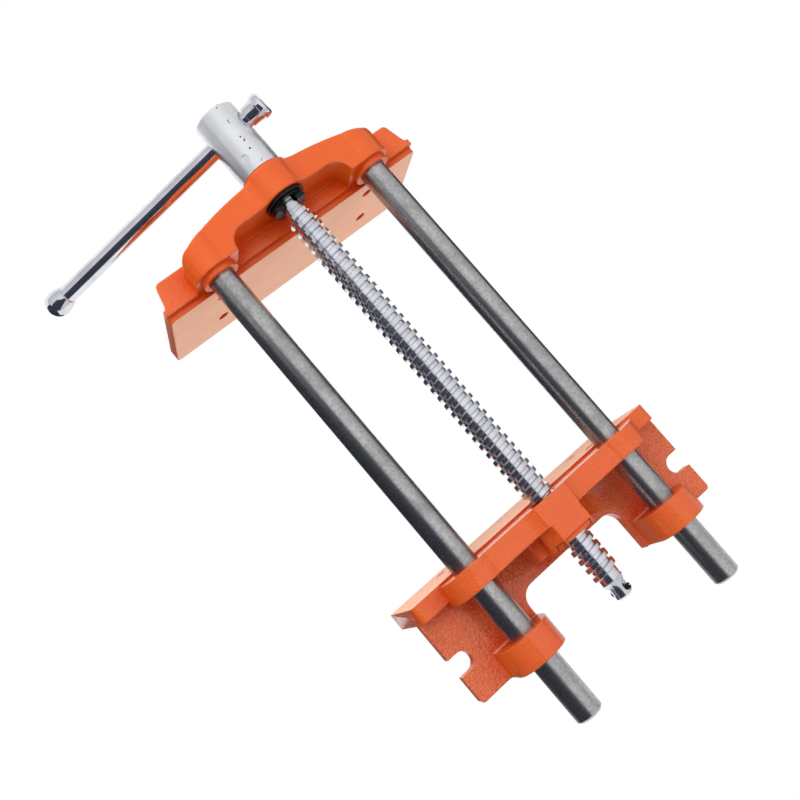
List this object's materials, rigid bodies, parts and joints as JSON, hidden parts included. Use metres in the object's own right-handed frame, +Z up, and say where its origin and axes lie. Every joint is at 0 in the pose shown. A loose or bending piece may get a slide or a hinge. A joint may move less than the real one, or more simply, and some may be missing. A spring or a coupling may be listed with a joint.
{
  "type": "quick-release bench vise",
  "caption": "Bench vise with cast jaws, twin guide rods, a lead screw with a pivoted half nut and a sliding tommy bar handle.",
  "frame": {"origin": "midway between the two bench bolt slots, on the seat face that rests against the bench top's underside", "axes": "+X along the jaws, +Y from the front jaw towards the rear jaw and along the guide rods, +Z up from the seat face to the jaw tops"},
  "size_m": [0.2222, 0.3755, 0.1092],
  "materials": {
    "enamel": "glossy orange enamel over rough castings",
    "dark_steel": "oiled dark drawn steel",
    "bright_steel": "bright zinc or chrome plating",
    "zinc": "satin zinc plating",
    "blackened": "blackened steel"
  },
  "bodies": {
    "rear": {"rear_jaw": "enamel", "nut_pivot_pin": "bright_steel", "nut_cover": "zinc", "cover_screws": "blackened", "nut_spring": "bright_steel"},
    "moving_jaw": {"front_jaw": "enamel", "guide_rod_left": "dark_steel", "guide_rod_right": "dark_steel", "rod_pin_left": "zinc", "rod_pin_right": "zinc", "thrust_washer": "blackened"},
    "screw": {"lead_screw": "bright_steel", "spindle_head": "zinc", "head_pin": "zinc", "spring_washer": "blackened", "neck_clip": "blackened", "tail_pin": "blackened"},
    "handle": {"handle_bar": "bright_steel", "handle_knob_long": "bright_steel", "handle_knob_short": "bright_steel"},
    "nut": {"half_nut": "dark_steel"}
  },
  "joints": [
    {"name": "jaw_slide", "type": "slide", "parent": "rear", "child": "moving_jaw", "axis": [0, 1, 0], "range_m": [-0.0114, 0.1995]},
    {"name": "screw_spin", "type": "hinge", "parent": "moving_jaw", "child": "screw", "pos_m": [0, -0.239, -0.033], "axis": [0, 1, 0], "range_deg": [-719.3, 12598.7]},
    {"name": "handle_slide", "type": "slide", "parent": "screw", "child": "handle", "axis": [0.8934, 0, -0.4493], "range_m": [-0.001, 0.116]},
    {"name": "nut_release", "type": "hinge", "parent": "rear", "child": "nut", "pos_m": [0.018, -0.023, -0.0126], "axis": [0, 1, 0], "range_deg": [0, 14], "deforming": ["nut_spring"]}
  ],
  "couplings": [
    {"joint": "jaw_slide", "follows": "screw_spin", "m_per_rad": 0.00090718}
  ]
}
